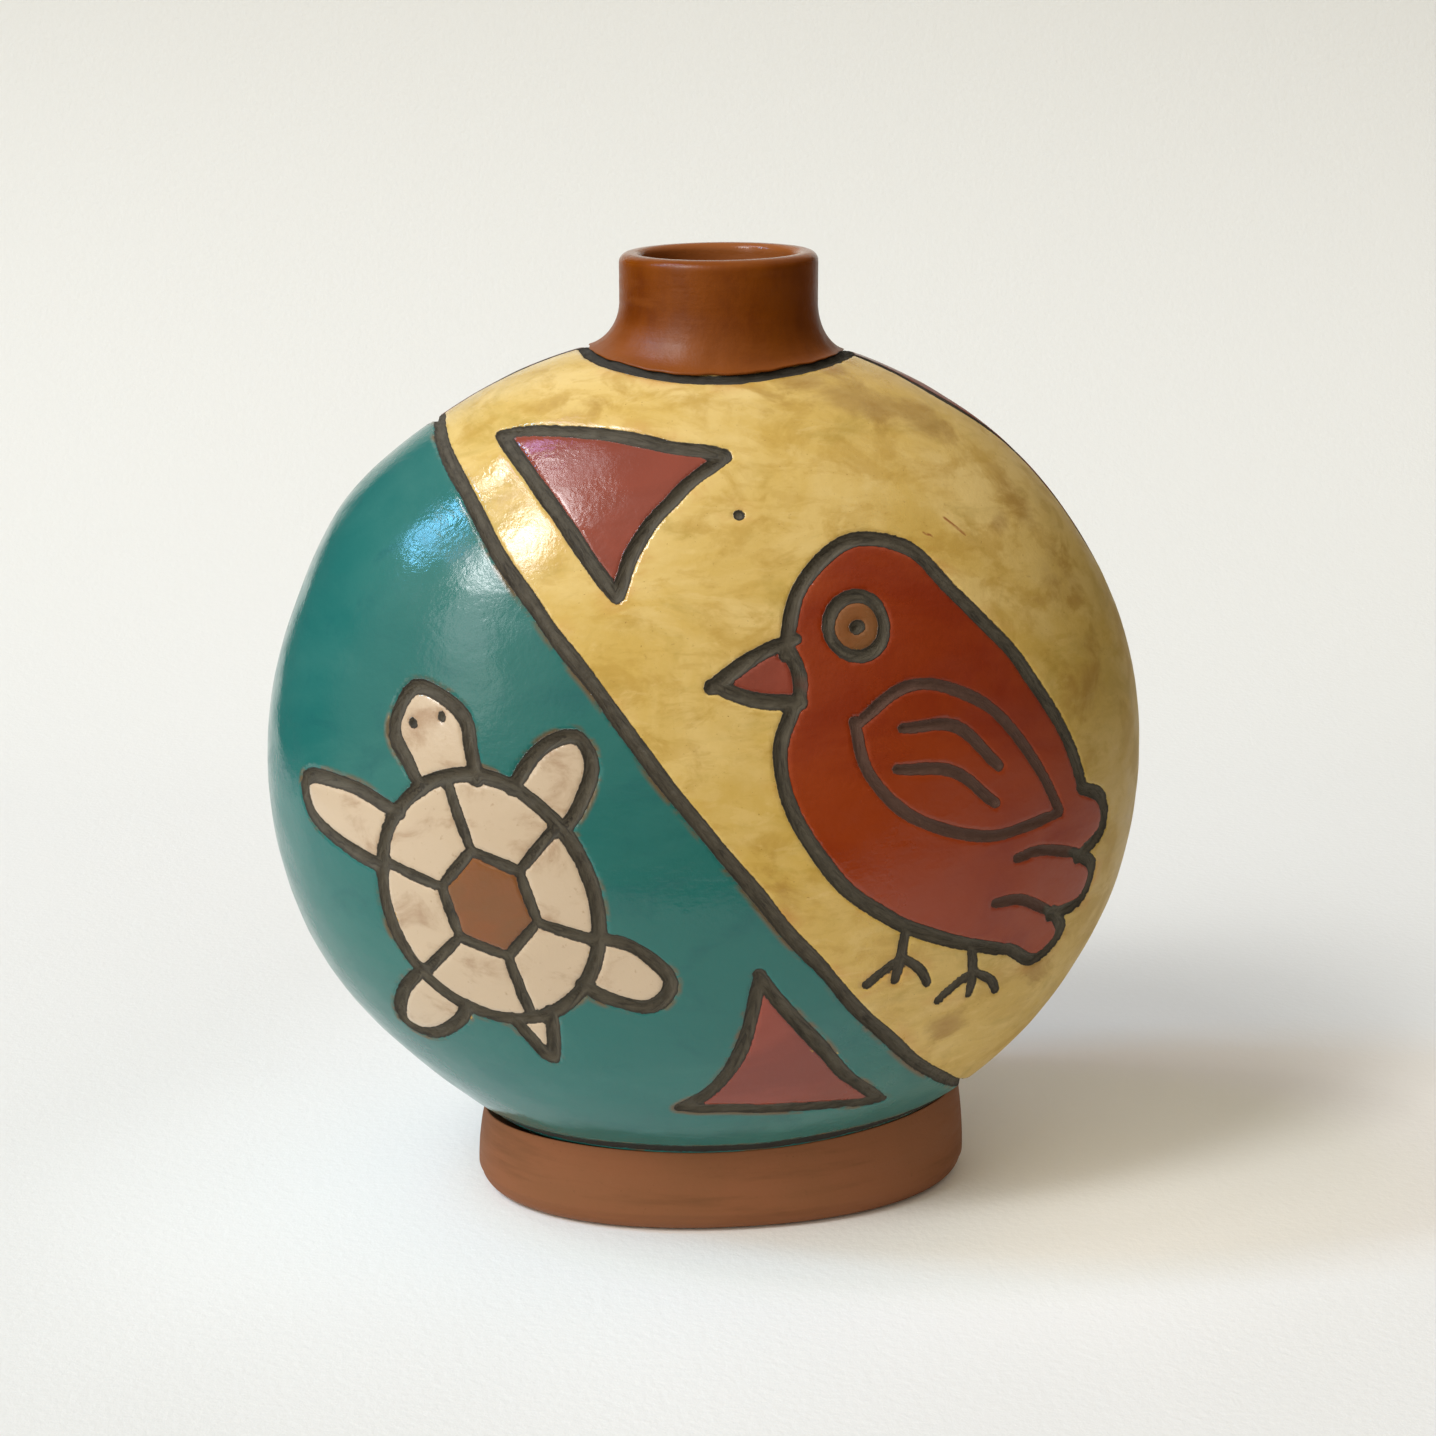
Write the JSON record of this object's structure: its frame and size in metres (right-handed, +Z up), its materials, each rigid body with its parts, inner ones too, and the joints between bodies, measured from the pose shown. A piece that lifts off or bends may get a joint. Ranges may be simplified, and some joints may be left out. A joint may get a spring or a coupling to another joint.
{
  "type": "pottery flask",
  "caption": "Round, flattened pottery flask with a short flared neck and an oval foot ring, slip painted, burnished and incised.",
  "frame": {"origin": "centre of the body's width and depth, on the surface that the foot stands on", "axes": "+X to the right across the broad face, +Y from the front face to the back, +Z up through the neck"},
  "size_m": [0.1522, 0.1012, 0.165],
  "materials": {
    "front_slip": "burnished slip, satin, in fields of ochre and teal parted by dark incised lines",
    "back_slip": "burnished slip, satin, in fields of teal, ochre and red-brown parted by dark incised lines",
    "burnished_clay": "burnished orange-brown clay slip, satin",
    "foot_clay": "rubbed brown clay slip, near matte",
    "bare_clay": "bare fired clay, matte"
  },
  "bodies": {
    "root": {"front_bowl": "front_slip", "back_bowl": "back_slip", "neck": "burnished_clay", "foot_ring": "foot_clay", "body_seam_coil": "bare_clay", "neck_seam_coil": "bare_clay", "foot_seam_coil": "bare_clay"}
  },
  "joints": []
}
